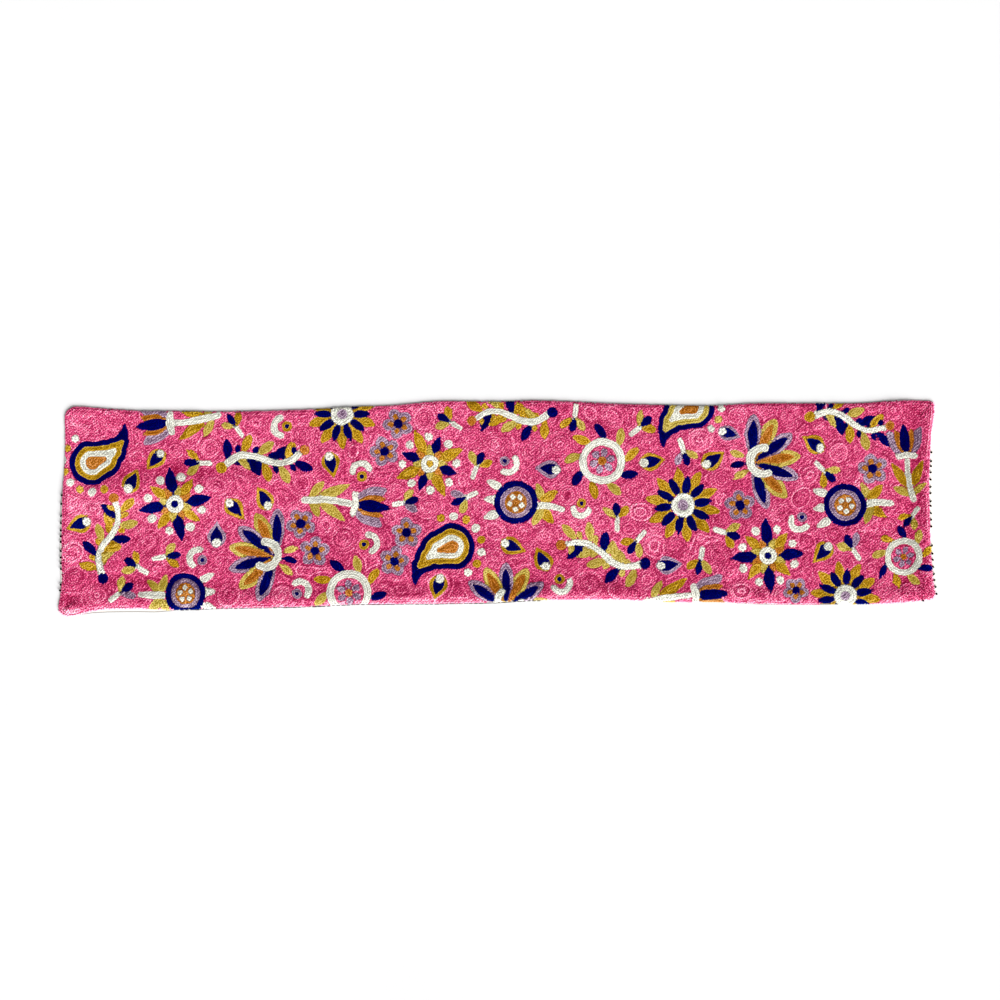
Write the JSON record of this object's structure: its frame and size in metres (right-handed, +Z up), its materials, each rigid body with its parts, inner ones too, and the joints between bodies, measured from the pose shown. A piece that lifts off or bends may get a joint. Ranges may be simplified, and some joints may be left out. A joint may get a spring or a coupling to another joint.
{
  "type": "embroidered table runner",
  "caption": "Flat cloth runner for dressing the middle of a table: a puffy face covered in chain-stitch embroidery over a plain white cotton backing.",
  "frame": {"origin": "on the surface that the runner lies on, under the middle of its outline", "axes": "+X along the runner, +Y across it, +Z up out of the embroidered face"},
  "size_m": [1.528, 0.3762, 0.007],
  "materials": {
    "embroidered_face": "matte",
    "backing": "matte"
  },
  "bodies": {
    "root": {"embroidered_face": "embroidered_face", "backing": "backing"}
  },
  "joints": []
}
